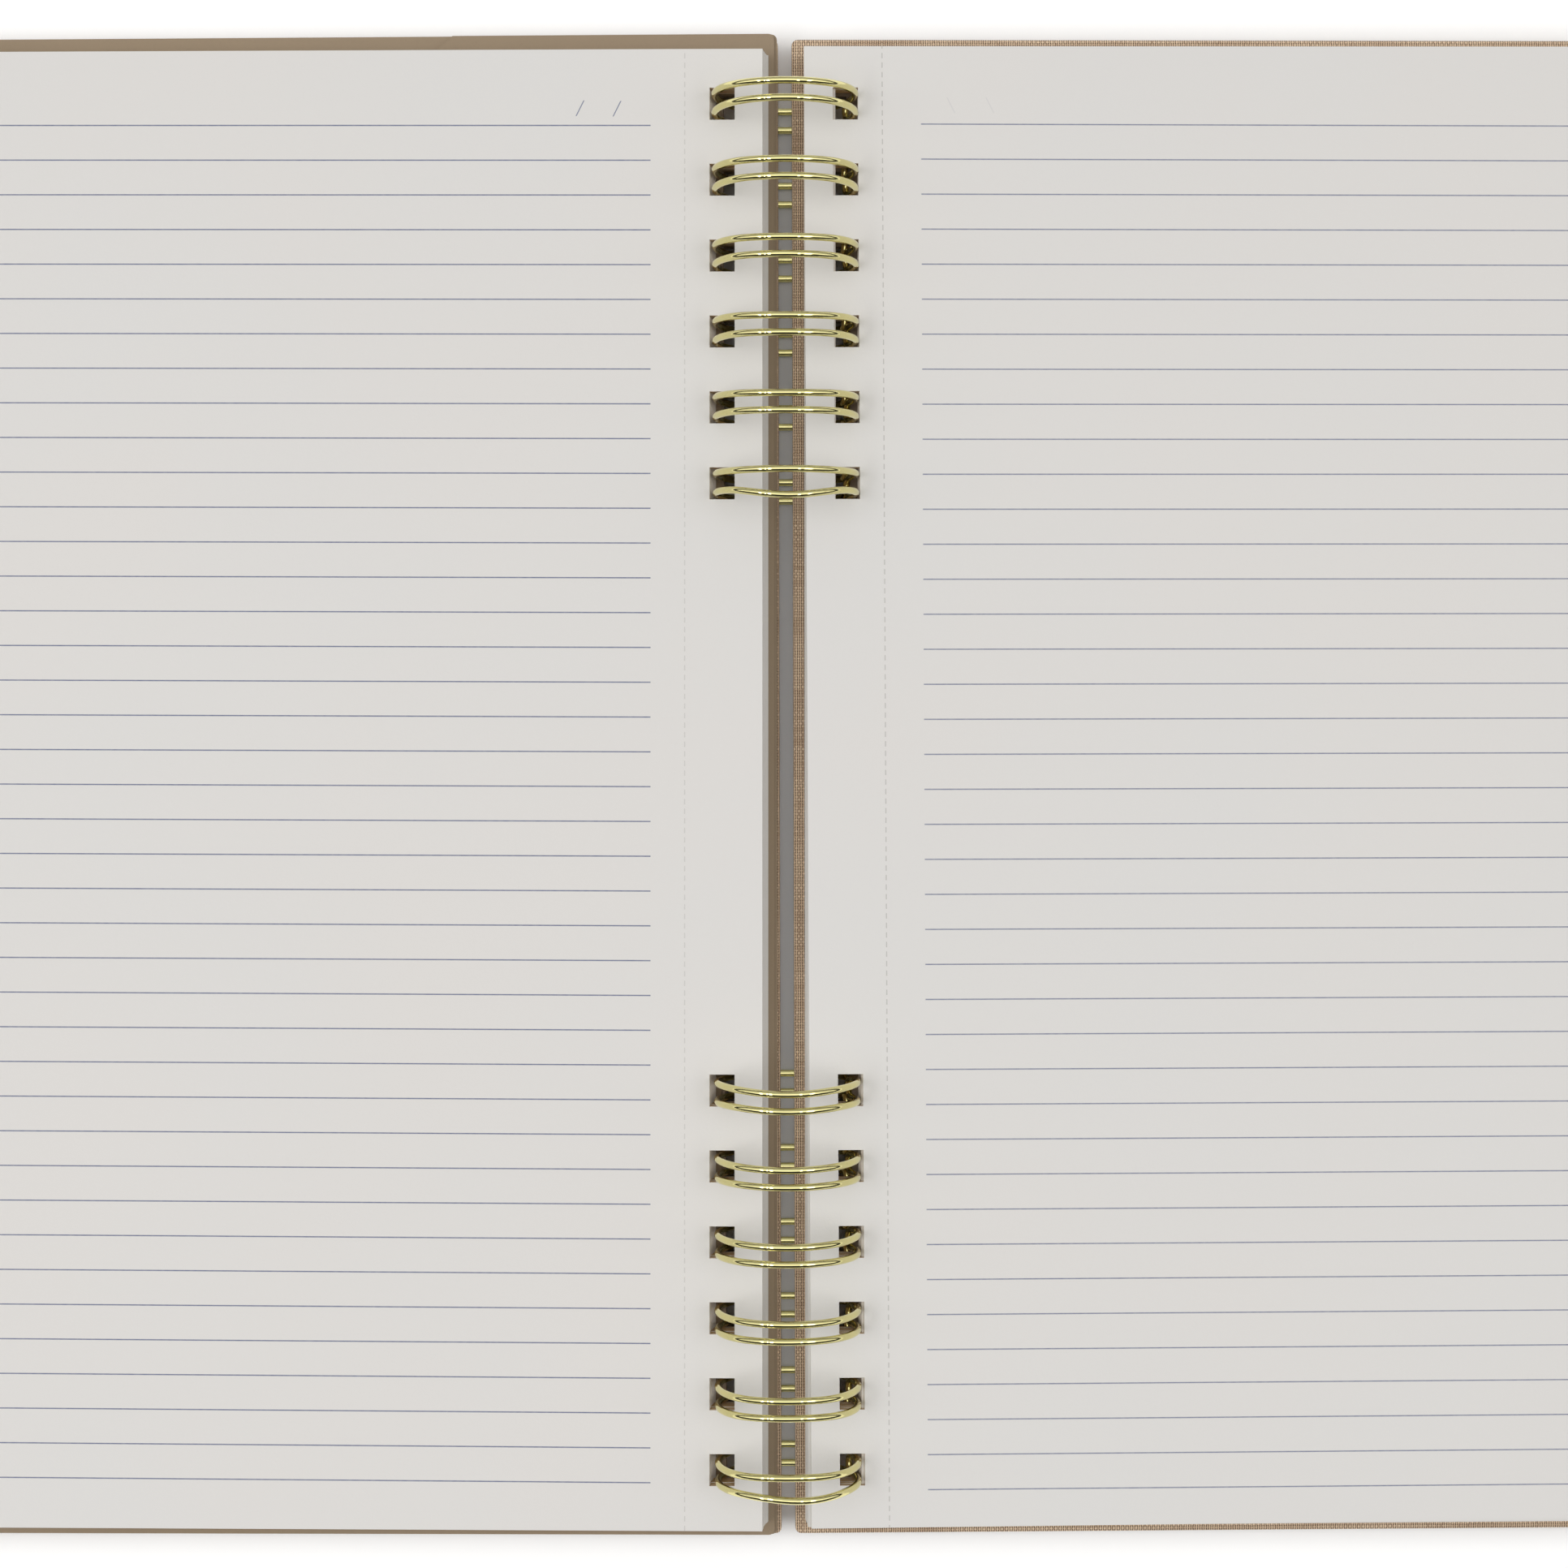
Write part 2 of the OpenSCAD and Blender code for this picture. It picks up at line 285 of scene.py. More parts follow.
class Finish(Shading):
    """One material and its tree."""

    def __init__(self, name):
        self.material = bpy.data.materials.new(name)
        self.material.use_nodes = True
        super().__init__(self.material.node_tree)
        self.tree.nodes.clear()
        self.shader = self.tree.nodes.new("ShaderNodeBsdfPrincipled")
        output = self.tree.nodes.new("ShaderNodeOutputMaterial")
        self.tree.links.new(self.shader.outputs[0], output.inputs[0])

    def set(self, **sockets):
        """Sets the shader's own sockets, with spaces written as underscores."""
        for name, value in sockets.items():
            self.feed(self.shader.inputs[name.replace("_", " ")], value)
        return self.material

    def place(self):
        """The three object coordinates, in millimetres."""
        point = self.node("ShaderNodeTexCoord", {}, {}, "Object")
        scaled = self.node("ShaderNodeVectorMath", {"operation": "SCALE"}, {0: point, "Scale": 1 / MM})
        return self.split(scaled)


def rgb(red, green, blue):
    """A colour as a picture shows it, from 0 to 255, turned into the shader's linear values."""
    def linear(level):
        share = level / 255
        return share / 12.92 if share <= 0.04045 else ((share + 0.055) / 1.055) ** 2.4

    return (linear(red), linear(green), linear(blue), 1)


# %% [markdown]
# Floor and light
#
# The notebook stands on a plain white floor. The floor is a large disc, matt and nearly
# white, so it keeps the soft shadow of the covers, and a little of its own glow for
# camera and mirror rays lifts the open part to pure white. Below the notebook the floor
# stays as dark as it is, except for a faint glow in the gap at the spine.
#
# Two tall softboxes light the pages evenly, one from each side, with the left one a
# little stronger. The sky is pale overhead and dims to the sides. Its dark band low down
# towards the foot of the page shows only in the bright wire, as the thin dark line along
# the lower flank of each ring. Where the camera looks past the floor it sees plain white.

# %% Floor
FLOOR_R = 2.5
GLOW = 0.2
GLOW_EDGE = (-1, 6)
GAP_GLOW = 0.025
GAP_HALF = 1.6
GAP_SOFT = 0.4

bpy.ops.mesh.primitive_circle_add(vertices=96, radius=FLOOR_R, fill_type="NGON")
floor = bpy.context.object
floor.name = "floor"

white = Finish("floor_white")
rays = white.node("ShaderNodeLightPath", {}, {}, "Is Camera Ray")
mirrored = Value(white, rays.socket.node.outputs["Is Glossy Ray"])
floor_x, floor_y, floor_z = white.place()
past_box = (abs(floor_x) - cad_high.x / MM).larger(abs(floor_y) - cad_high.y / MM)
beside = past_box.rise(*GLOW_EDGE)
in_gap = floor_x.band(GAP_HALF, GAP_SOFT)
glow = (rays + mirrored).smaller(1.0) * (beside * GLOW).larger(in_gap * GAP_GLOW)
white.set(Base_Color=(0.96, 0.96, 0.96, 1), Roughness=0.9, Specular_IOR_Level=0.0)
white.set(Emission_Color=(1, 1, 1, 1), Emission_Strength=glow)
floor.data.materials.append(white.material)

# %% Softboxes
LAMP_WIDTH = 0.3
LAMP_LENGTH = 0.95
LAMP_PLACE = Vector((0.8, -0.15, 1.1))
LEFT_WATTS = 3.6
RIGHT_WATTS = 2.0


def softbox(name, side, watts):
    place = Vector((side * LAMP_PLACE.x, LAMP_PLACE.y, LAMP_PLACE.z))
    bpy.ops.object.light_add(type="AREA", location=place)
    lamp = bpy.context.object
    lamp.name = name
    lamp.data.shape = "RECTANGLE"
    lamp.data.size = LAMP_WIDTH
    lamp.data.size_y = LAMP_LENGTH
    lamp.data.energy = watts
    lamp.rotation_euler = (0, side * math.atan2(LAMP_PLACE.x, LAMP_PLACE.z), 0)


softbox("softbox_left", -1, LEFT_WATTS)
softbox("softbox_right", 1, RIGHT_WATTS)

# %% Sky
SKY_STOPS = [(0.0, 0.02), (0.05, 0.04), (0.09, 0.5), (0.36, 0.6), (0.41, 1.5), (0.56, 1.5), (0.61, 0.5),
             (0.65, 0.02), (0.86, 0.02), (0.9, 0.35), (1.0, 0.35)]
SIDE_HEIGHTS = (0.08, 0.2)
SIDE_LEVEL = 0.1
BACKDROP = 0.95

world = bpy.data.worlds.new("sky")
bpy.context.scene.world = world
world.use_nodes = True
sky = Shading(world.node_tree)
direction = sky.split(sky.node("ShaderNodeTexCoord", {}, {}, "Generated"))
footward = (0 - direction[1]).angle_from(direction[2]) / math.pi + 0.5
stops = [(place, (grey, grey, grey)) for place, grey in SKY_STOPS]
level = sky.node("ShaderNodeValToRGB", {"stops": stops}, {0: footward})
level = level * (direction[2].rise(*SIDE_HEIGHTS) * (1 - SIDE_LEVEL) + SIDE_LEVEL)
seen = sky.node("ShaderNodeLightPath", {}, {}, "Is Camera Ray")
level = level.larger(seen * BACKDROP)
background = world.node_tree.nodes["Background"]
sky.feed(background.inputs["Strength"], level)
sky.feed(background.inputs["Color"], (1, 0.995, 0.985, 1))
bpy.context.scene.view_settings.view_transform = "Standard"

# %% [markdown]
# Helpers for modelling
#
# New pieces are shaped in edit mode with the same operators that a modeller uses by
# hand. What a hand would pick with the mouse is picked here by place or normal. The other
# helpers open a new piece, cut it along a plane, punch its holes, apply a modifier, lay
# the finished piece down on the table and hang it on its body.

# %% Modelling helpers
def part_centre(part):
    corners = [part] if isinstance(part, bmesh.types.BMVert) else part.verts
    return sum((corner.co for corner in corners), Vector()) / len(corners)


def pick(obj, kind, test):
    """In edit mode, selects the parts of one kind (VERT, EDGE or FACE) that pass the test."""
    bpy.ops.mesh.select_mode(type=kind)
    bpy.ops.mesh.select_all(action="DESELECT")
    mesh = bmesh.from_edit_mesh(obj.data)
    mesh.normal_update()
    parts = {"VERT": mesh.verts, "EDGE": mesh.edges, "FACE": mesh.faces}[kind]
    for part in parts:
        if test(part):
            part.select_set(True)
    mesh.select_flush_mode()
    bmesh.update_edit_mesh(obj.data)


def start(name, add, **options):
    """Adds a primitive, names it, applies its place and opens it for editing."""
    add(**options)
    obj = bpy.context.object
    obj.name = name
    obj.data.name = name
    bpy.ops.object.transform_apply(location=True, rotation=True, scale=True)
    bpy.ops.object.mode_set(mode="EDIT")
    return obj


def cut(axis, place):
    """Cuts everything across along the plane where the axis has the value place."""
    bpy.ops.mesh.select_all(action="SELECT")
    normal = [float(i == axis) for i in range(3)]
    bpy.ops.mesh.bisect(plane_co=[place * n for n in normal], plane_no=normal)


def far_wall(hole, top):
    """The outer wall of a hole that starts at hole, for a layer whose top lies at depth top."""
    return max(hole + HOLE_W, math.sqrt((RING_R + WIRE_R + WIRE_PLAY) ** 2 - top ** 2))


def punch(obj, near, far, slide=0.0):
    """Cuts the outlines of the twelve holes and deletes what lies inside them."""
    cut(0, near)
    cut(0, far)
    for y in LOOP_PLACES:
        cut(1, y + slide - HOLE_L / 2)
        cut(1, y + slide + HOLE_L / 2)

    def in_hole(face):
        centre = part_centre(face)
        beside = any(abs(centre.y - slide - y) < HOLE_L / 2 for y in LOOP_PLACES)
        return near < centre.x < far and beside and abs(face.normal.z) > 0.5

    pick(obj, "FACE", in_hole)
    bpy.ops.mesh.delete(type="FACE")


def modify(obj, kind, **settings):
    """Adds one modifier and applies it."""
    bpy.ops.object.modifier_add(type=kind)
    modifier = obj.modifiers[-1]
    for name, setting in settings.items():
        setattr(modifier, name, setting)
    bpy.ops.object.modifier_apply(modifier=modifier.name)


def lay_down(obj, half):
    """Lays a piece drawn in a half's own frame down on the table."""
    bpy.ops.object.select_all(action="DESELECT")
    obj.select_set(True)
    bpy.context.view_layer.objects.active = obj
    obj.matrix_world = half
    bpy.ops.object.transform_apply(location=True, rotation=True, scale=True)
    bpy.ops.object.mode_set(mode="EDIT")
    bpy.ops.mesh.select_all(action="SELECT")
    bpy.ops.mesh.normals_make_consistent(inside=False)
    bpy.ops.object.mode_set(mode="OBJECT")


def settle(obj, body, slot, *nodes):
    """Hangs a finished piece on its body, in place of the solids that it stands for."""
    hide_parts(*nodes)
    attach(obj, body)
    obj.select_set(False)
    triangles = sum(len(face.vertices) - 2 for face in obj.data.polygons)
    print(f"{obj.name}: {triangles} triangles on {body}")


# %% [markdown]
# Ruled paper
#
# The sheets are uncoated writing paper, a warm white, ruled with forty thin bluish grey
# lines. The lines stop short of the spine, where a row of fine slits lets a sheet be
# torn out, and two short slanted strokes at the head leave room for a date. The lines and
# strokes are print, so they go into the colour. The slits are not cut: their grey in the
# colour is painted shade, standing for the shade inside each slit, with a slight dent in
# the relief. The pattern is measured along and across the sheet itself, which lies a
# little out of square with the rings.

# %% Ruled paper finish
RULE_COUNT = 40
RULE_HALF = 0.105
INK_SOFT = 0.05
PRINT_END = 0.01
SLIT_HALF = 0.09
PERFORATION_STEP = 1.6
PERFORATION_CUT = 0.56
STROKE_W = 1.3
STROKE_H = 2.6
STROKE_HALF = 0.1
STROKE_END_SOFT = 0.1
PAPER = rgb(230, 226, 222)
PAPER_COOL = rgb(227, 226, 224)
RULE_INK = rgb(98, 108, 142)
# Painted shade: the grey of the perforation slits stands for the shade inside the cuts.
SLIT_SHADE = rgb(150, 144, 138)


def sheet_axes(finish, side):
    """Distance from the ring axis and height along the spine, square with the sheet."""
    x, y, z = finish.place()
    outward = x * side
    across = outward * math.cos(SHEET_TURN) + y * math.sin(SHEET_TURN)
    along = y * math.cos(SHEET_TURN) - outward * math.sin(SHEET_TURN)
    return finish.point(x, y, z), across, along


def stroke(across, along, foot_across, foot_along):
    """A short slanted stroke, given by the place of its foot."""
    height = along - foot_along
    beside = across + height * (STROKE_W / STROKE_H) - foot_across
    within = (height - STROKE_H / 2).band(STROKE_H / 2, STROKE_END_SOFT)
    return beside.band(STROKE_HALF, INK_SOFT) * within


def paper_colour(finish, at):
    clouds = finish.noise(at, 45.0, detail=3.0)
    fibres = finish.noise(at, 0.5, detail=4.0, rough=0.7)
    tone = finish.mix(clouds, PAPER, PAPER_COOL)
    return finish.mix(fibres.rise(0.55, 0.8) * 0.05, tone, rgb(205, 198, 190)), fibres


def ruled_paper(name, side, rule_step, rules_from, first_rule, lean, ink, slits_at, slit_shade_share,
                strokes, stroke_ink):
    """Lines, slits and strokes are placed by their distance across and along the sheet."""
    finish = Finish(name)
    at, across, along = sheet_axes(finish, side)
    colour, fibres = paper_colour(finish, at)
    down = first_rule - along - across * lean
    off_line = ((down / rule_step + 0.5).fraction() - 0.5) * rule_step
    lines = off_line.band(RULE_HALF, INK_SOFT)
    first = -rule_step / 2
    last = rule_step * (RULE_COUNT - 0.5)
    printed = down.rise(first, first + PRINT_END) * (1 - down.rise(last, last + PRINT_END))
    printed = printed * across.rise(rules_from, rules_from + 0.15)
    uneven = finish.noise(at, 0.8, detail=2.0) * 0.3 + (ink - 0.15)
    colour = finish.mix(lines * printed * uneven, colour, RULE_INK)
    step_share = (along / PERFORATION_STEP).fraction()
    dashes = 1 - step_share.rise(PERFORATION_CUT - INK_SOFT, PERFORATION_CUT + INK_SOFT)
    # The slits are painted shade: a darker grey along the perforation, for the shade inside each cut.
    slits = (across - slits_at).band(SLIT_HALF, INK_SOFT) * dashes
    colour = finish.mix(slits * slit_shade_share, colour, SLIT_SHADE)
    for foot in strokes:
        colour = finish.mix(stroke(across, along, *foot) * stroke_ink, colour, RULE_INK)
    relief = finish.bump(fibres - slits * 0.8, 0.02 * MM)
    return finish.set(Base_Color=colour, Roughness=0.72, Specular_IOR_Level=0.25, Normal=relief)


LEFT_PAPER = ruled_paper("ruled_paper_left", -1, rule_step=5.825, rules_from=22.7, first_rule=110.35,
                         lean=-0.0036, ink=0.84, slits_at=17.05, slit_shade_share=0.25,
                         strokes=[(35.25, 112.05), (29.05, 111.95)], stroke_ink=0.8)
RIGHT_PAPER = ruled_paper("ruled_paper_right", 1, rule_step=5.863, rules_from=23.0, first_rule=110.65,
                          lean=0.003, ink=0.74, slits_at=16.6, slit_shade_share=0.42,
                          strokes=[(28.75, 112.45), (35.3, 112.45)], stroke_ink=0.1)

# %% [markdown]
# The cut edges of the sheets
#
# Seen from the side a stack is a bundle of cut edges. Real gaps between the sheets make
# its lines. The edge finish is darker than the paper: partly the duller tone of cut fibres
# and partly painted shade for the narrow valley at the spine. The walls of the holes are
# painted shade: a darker brown stands for the shade deep inside the holes.

# %% Cut edge finishes
def cut_edge(name, dull, pale):
    finish = Finish(name)
    x, y, z = finish.place()
    grain = finish.noise(finish.point(x, y, z * 12), 1.5, detail=3.0)
    colour = finish.mix(grain, dull, pale)
    return finish.set(Base_Color=colour, Roughness=0.85, Specular_IOR_Level=0.2)


# Partly the duller tone of cut fibres, partly painted shade on the edges in the spine's valley.
SHEET_EDGE_DULL_AND_SHADED = cut_edge("sheet_edge", rgb(206, 199, 184), rgb(220, 214, 202))
# Painted shade: a darker brown for the shade inside the punched holes.
HOLE_WALL_SHADED = cut_edge("hole_edge", rgb(214, 182, 140), rgb(234, 206, 166))

# %% [markdown]
# The stacks
#
# One sheet is drawn once: a plane, cut along the hole outlines, with the holes deleted,
# turned by the small angle at which the sheets hang on the wire, and given a paper's
# thickness. Then it is copied down the stack. The top sheet hangs on the round wire and
# each lower one lies a little further in, along a curve that is flatter than the ring. A
# few tenths of play in the holes let small groups of sheets sit slightly apart, which
# shows as fine steps along the edges. A seeded random generator keeps them the same on
# each run.

# %% One sheet
PAPER_SHARE = 0.85


def one_sheet(name, paper, slip, margin, slide, hole_slide):
    """A punched sheet with its holes moved out by slip, and margin left at its spine edge."""
    hole_far = HOLE_WALL_R + slip
    edge = hole_far - HOLE_W - margin
    sheet = start(name, bpy.ops.mesh.primitive_plane_add, size=1)
    bpy.ops.transform.resize(value=(SHEET_W, SHEET_H, 1))
    bpy.ops.transform.translate(value=(edge + SHEET_W / 2, slide, 0))
    punch(sheet, hole_far - HOLE_W, hole_far, hole_slide)
    bpy.ops.mesh.select_all(action="SELECT")
    bpy.ops.transform.rotate(value=-SHEET_TURN, orient_axis="Z", center_override=(0, slide, 0))
    bpy.ops.object.mode_set(mode="OBJECT")
    modify(sheet, "SOLIDIFY", thickness=PAPER_SHARE * SHEET_PITCH, offset=0)
    # The third material, on the walls of the holes, is painted shade; the other cut edges get the
    # partly shaded edge finish.
    for material in (paper, SHEET_EDGE_DULL_AND_SHADED, HOLE_WALL_SHADED):
        sheet.data.materials.append(material)
    hole_x = hole_far - HOLE_W / 2
    for face in sheet.data.polygons:
        flat = abs(face.normal.z) > 0.5
        in_hole = abs(face.center.x - hole_x) < HOLE_W and abs(face.center.y) < SHEET_H / 2 - HOLE_L
        face.material_index = 0 if flat else 2 if in_hole else 1
    return sheet


# %% Copies down the stack
GROUP_SHEETS = (4, 9)
GROUP_X = (0.02 * MM, 0.1 * MM)
GROUP_Y = (-0.07 * MM, 0.07 * MM)
SHEET_SHAKE = 0.01 * MM


def stack_of_sheets(sheet, count, base, flatness, rise, low_turn, seed):
    """Copies a sheet down from the top, in small groups.

    The groups below the top one are turned by low_turn, and the lowest has risen by rise
    towards the head.
    """
    chance = random.Random(seed)
    curve_r = flatness * HOLE_WALL_R
    copies = []
    left_in_group = 0
    for k in range(count):
        low_share = k / count
        if left_in_group == 0:
            left_in_group = chance.randint(*GROUP_SHEETS)
            shift = Vector((chance.uniform(*GROUP_X), chance.uniform(*GROUP_Y) + rise * low_share, 0))
            turn = Matrix.Rotation(0.0 if k == 0 else low_turn, 4, "Z")
        left_in_group -= 1
        depth = base - (count - k - 0.5) * SHEET_PITCH
        step_in = math.sqrt(curve_r ** 2 - depth ** 2) - curve_r
        place = Vector((step_in + chance.uniform(-SHEET_SHAKE, SHEET_SHAKE), 0, -depth)) + shift
        copy = sheet.copy()
        copy.data = sheet.data.copy()
        bpy.context.scene.collection.objects.link(copy)
        copy.data.transform(Matrix.Translation(place) @ turn)
        copies.append(copy)
    name = sheet.name
    bpy.data.objects.remove(sheet)
    bpy.ops.object.select_all(action="DESELECT")
    for copy in copies:
        copy.select_set(True)
    bpy.context.view_layer.objects.active = copies[0]
    bpy.ops.object.join()
    copies[0].name = name
    return copies[0]


# %% Left stack
FOLDER_T = 0.8 * MM
LEFT_BASE = COVER_TOP - FOLDER_T - 2 * LAY_GAP
AXIS_GAP = 0.1 * MM
LEFT_SLIP = 0.38 * MM
LEFT_HOLE_SLIDE = 0.12 * MM
LEFT_COUNT = math.floor((LEFT_BASE - AXIS_GAP) / SHEET_PITCH)
left_sheet = one_sheet("left_sheets", LEFT_PAPER, LEFT_SLIP, LEFT_MARGIN, -SIDE_PLAY, LEFT_HOLE_SLIDE)
left_sheets = stack_of_sheets(left_sheet, LEFT_COUNT, LEFT_BASE, LEFT_FLATNESS,
                              rise=0.08 * MM, low_turn=0.0, seed=3)
lay_down(left_sheets, LEFT_HALF)
settle(left_sheets, "left_pages", "sheet_paper", "left_pages")

# %% Right stack
RIGHT_CURVE_R = RIGHT_FLATNESS * HOLE_WALL_R
SEAM_DEPTH = COVER_TOP - LAY_GAP - WIRE_R
ROOT_R = math.hypot(RING_R, BEND_R)
SEAM_X = math.sqrt(ROOT_R ** 2 - SEAM_DEPTH ** 2)
RIGHT_LIFT = SEAM_DEPTH - WIRE_R - LAY_GAP
RIGHT_STEP = math.sqrt(RIGHT_CURVE_R ** 2 - RIGHT_LIFT ** 2) - RIGHT_CURVE_R
RIGHT_REACH = HOLE_WALL_R - HOLE_W - RIGHT_MARGIN + SHEET_W + RIGHT_STEP
DROOP = math.asin((COVER_TOP - LAY_GAP - RIGHT_LIFT) / (RIGHT_REACH - SEAM_X))
RIGHT_BASE = SEAM_DEPTH * math.cos(DROOP) - SEAM_X * math.sin(DROOP) - WIRE_R - LAY_GAP
RIGHT_SLIP = 0.05 * MM
RIGHT_HOLE_SLIDE = 0.1 * MM
RIGHT_COUNT = math.floor((RIGHT_BASE - AXIS_GAP) / SHEET_PITCH)
right_sheet = one_sheet("right_sheets", RIGHT_PAPER, RIGHT_SLIP, RIGHT_MARGIN, 0.0, RIGHT_HOLE_SLIDE)
right_sheets = stack_of_sheets(right_sheet, RIGHT_COUNT, RIGHT_BASE, RIGHT_FLATNESS,
                               rise=0.24 * MM, low_turn=math.radians(-0.24), seed=5)
lay_down(right_sheets, RIGHT_HALF @ Matrix.Rotation(DROOP, 4, "Y"))
settle(right_sheets, "right_pages", "sheet_paper", "right_pages")
print("sheets:", LEFT_COUNT, "left and", RIGHT_COUNT, "right")

# %% [markdown]
# Book cloth
#
# The covers are wrapped in a plain-woven linen, taupe with a pinkish cast. In a plain
# weave each thread passes over one crossing and under the next. Two sine waves, one for
# each direction, give the round backs of the threads when they are squared, and the sign
# of their product says which thread lies on top. Threads differ in thickness and shade,
# so noise that is stretched along each direction varies them. The pattern sits on the
# piece's own UV map, in millimetres, because it has to turn over the cover's edges with
# the cloth.

# %% Book cloth finish
WARP_STEP = 0.38
WEFT_STEP = 0.48
WAVER = 0.25


def thread_wave(across, step):
    """A wave that is zero in the gaps between threads and changes its sign from thread to thread."""
    return (across * (math.pi / step)).sine()


def book_cloth(name):
    finish = Finish(name)
    u, v = finish.split(finish.node("ShaderNodeTexCoord", {}, {}, "UV"))[:2]
    waver = finish.noise(finish.point(u, v, 0.0), 6.0, detail=2.0) * WAVER
    u = u + waver
    v = v + waver
    warp = thread_wave(u, WARP_STEP)
    weft = thread_wave(v, WEFT_STEP)
    over = (warp * weft).rise(-0.25, 0.25)
    height = warp ** 2 * (over * 0.5 + 0.5) + weft ** 2 * (1 - over) * 0.7
    warp_tone = finish.noise(finish.point(u / WARP_STEP, v * 0.08, 0.0), 1.3, detail=2.0)
    weft_tone = finish.noise(finish.point(u * 0.08, v / WEFT_STEP, 7.0), 1.3, detail=2.0)
    tone = (warp_tone * over + weft_tone * (1 - over)).rise(0.25, 0.75)
    thread = finish.mix(tone, rgb(197, 168, 141), rgb(238, 212, 182))
    # Painted shade: the colour darkens towards a deep brown where the relief is low, for the shade in
    # the hollows between threads.
    colour = finish.mix((height * 1.5).smaller(1.0), rgb(52, 36, 25), thread)
    relief = finish.bump(height, 0.06 * MM)
    finish.set(Base_Color=colour, Roughness=0.88, Specular_IOR_Level=0.2, Normal=relief)
    return finish.set(Sheen_Weight=0.15, Sheen_Roughness=0.5)


BOOK_CLOTH = book_cloth("book_cloth")

# %% [markdown]
# The cloth wrapping
#
# The cloth is one sheet that covers the outside of the board, turns over its edges and
# is glued down as a border round the inside. It starts as a box of the cover's outer
# size. The top face is inset by the width of the turn-in and its middle deleted, which
# leaves the mitred border. Bevels round the corners and edges as pulled cloth rounds
# them, the holes are punched through both layers, and Solidify adds the cloth inwards.

# %% Wrap a cover
CORNER_R = 1.0 * MM
CLOTH_EDGE_R = 0.4 * MM


def cover_wrap(name):
    low = Vector((COVER_X, -COVER_H / 2, -COVER_BASE))
    high = Vector((COVER_X + COVER_W, COVER_H / 2, -COVER_TOP - LINING_T))
    wrap = start(name, bpy.ops.mesh.primitive_cube_add, size=1,
                 location=(low + high) / 2, scale=high - low)
    pick(wrap, "FACE", lambda face: face.normal.z > 0.9)
    bpy.ops.mesh.inset(thickness=TURN_IN)
    bpy.ops.mesh.delete(type="FACE")
    pick(wrap, "EDGE", lambda edge: abs(edge.verts[0].co.z - edge.verts[1].co.z) > 0.5 * BOARD_T)
    bpy.ops.mesh.bevel(offset=CORNER_R, segments=5)

    def on_rim(edge):
        level = abs(edge.verts[0].co.z - edge.verts[1].co.z) < NEAR
        sharp = len(edge.link_faces) == 2 and edge.calc_face_angle() > math.radians(60)
        return level and sharp

    pick(wrap, "EDGE", on_rim)
    bpy.ops.mesh.bevel(offset=CLOTH_EDGE_R, segments=3)
    punch(wrap, COVER_HOLE, far_wall(COVER_HOLE, COVER_TOP))
    bpy.ops.object.mode_set(mode="OBJECT")
    modify(wrap, "SOLIDIFY", thickness=CLOTH_T, offset=-1, use_even_offset=True)
    bpy.ops.object.mode_set(mode="EDIT")
    bpy.ops.mesh.select_all(action="SELECT")
    bpy.ops.uv.cube_project(cube_size=MM, correct_aspect=False)
    bpy.ops.object.mode_set(mode="OBJECT")
    bpy.ops.object.shade_smooth_by_angle(angle=math.radians(35))
    wrap.data.materials.append(BOOK_CLOTH)
    return wrap


for side, half in (("back", RIGHT_HALF), ("front", LEFT_HALF)):
    wrap = cover_wrap(f"{side}_cover_wrap")
    lay_down(wrap, half)
    settle(wrap, f"{side}_cover", "cover_cloth", f"{side}_cover_cloth")

# %% [markdown]
# Board and lining
#
# The boards are grey pulp board, seen only in the walls of the holes, and the linings
# are a smooth taupe paper, seen when the sheets are turned away. Both solids already
# have the right shape, so they stay and only get a finish.

# %% Board and lining finishes
def pulp_board():
    finish = Finish("pulp_board")
    x, y, z = finish.place()
    layers = finish.noise(finish.point(x, y, z * 10), 2.0, detail=3.0)
    specks = finish.noise(finish.point(x, y, z), 0.35, detail=3.0, rough=0.7)
    colour = finish.mix(layers, rgb(150, 141, 128), rgb(182, 173, 158))
    colour = finish.mix(specks.rise(0.62, 0.75) * 0.5, colour, rgb(108, 98, 86))
    relief = finish.bump(layers + specks, 0.05 * MM)
    return finish.set(Base_Color=colour, Roughness=0.9, Specular_IOR_Level=0.2, Normal=relief)


def lining_paper():
    finish = Finish("lining_paper")
    x, y, z = finish.place()
    at = finish.point(x, y, z)
    clouds = finish.noise(at, 18.0, detail=4.0)
    fibres = finish.noise(at, 0.4, detail=4.0, rough=0.7)
    colour = finish.mix(clouds, rgb(172, 156, 139), rgb(182, 166, 150))
    colour = finish.mix(fibres.rise(0.5, 0.8) * 0.15, colour, rgb(150, 133, 116))
    relief = finish.bump(fibres, 0.03 * MM)
    return finish.set(Base_Color=colour, Roughness=0.7, Specular_IOR_Level=0.3, Normal=relief)


def refinish(node, material):
    for material_slot in frame["nodes"][node].material_slots:
        material_slot.material = material


BOARD = pulp_board()
LINING = lining_paper()
for side in ("back", "front"):
    refinish(f"{side}_cover_board", BOARD)
    refinish(f"{side}_cover_lining", LINING)

# %% [markdown]
# The pocket folder
#
# The folder is one card. Its back panel lies on the cover, the card turns round at the
# fore-edge, and the front panel comes back over it and ends in a slanted mouth. It is
# drawn as it is folded: a plane for the back panel, whose outer edge is spun half a turn
# for the fold and then extruded back to the spine. The slanted cut and the holes follow,
# and Solidify gives the card its thickness. A slight shear at the end lets the folder
# hang askew against the rings.

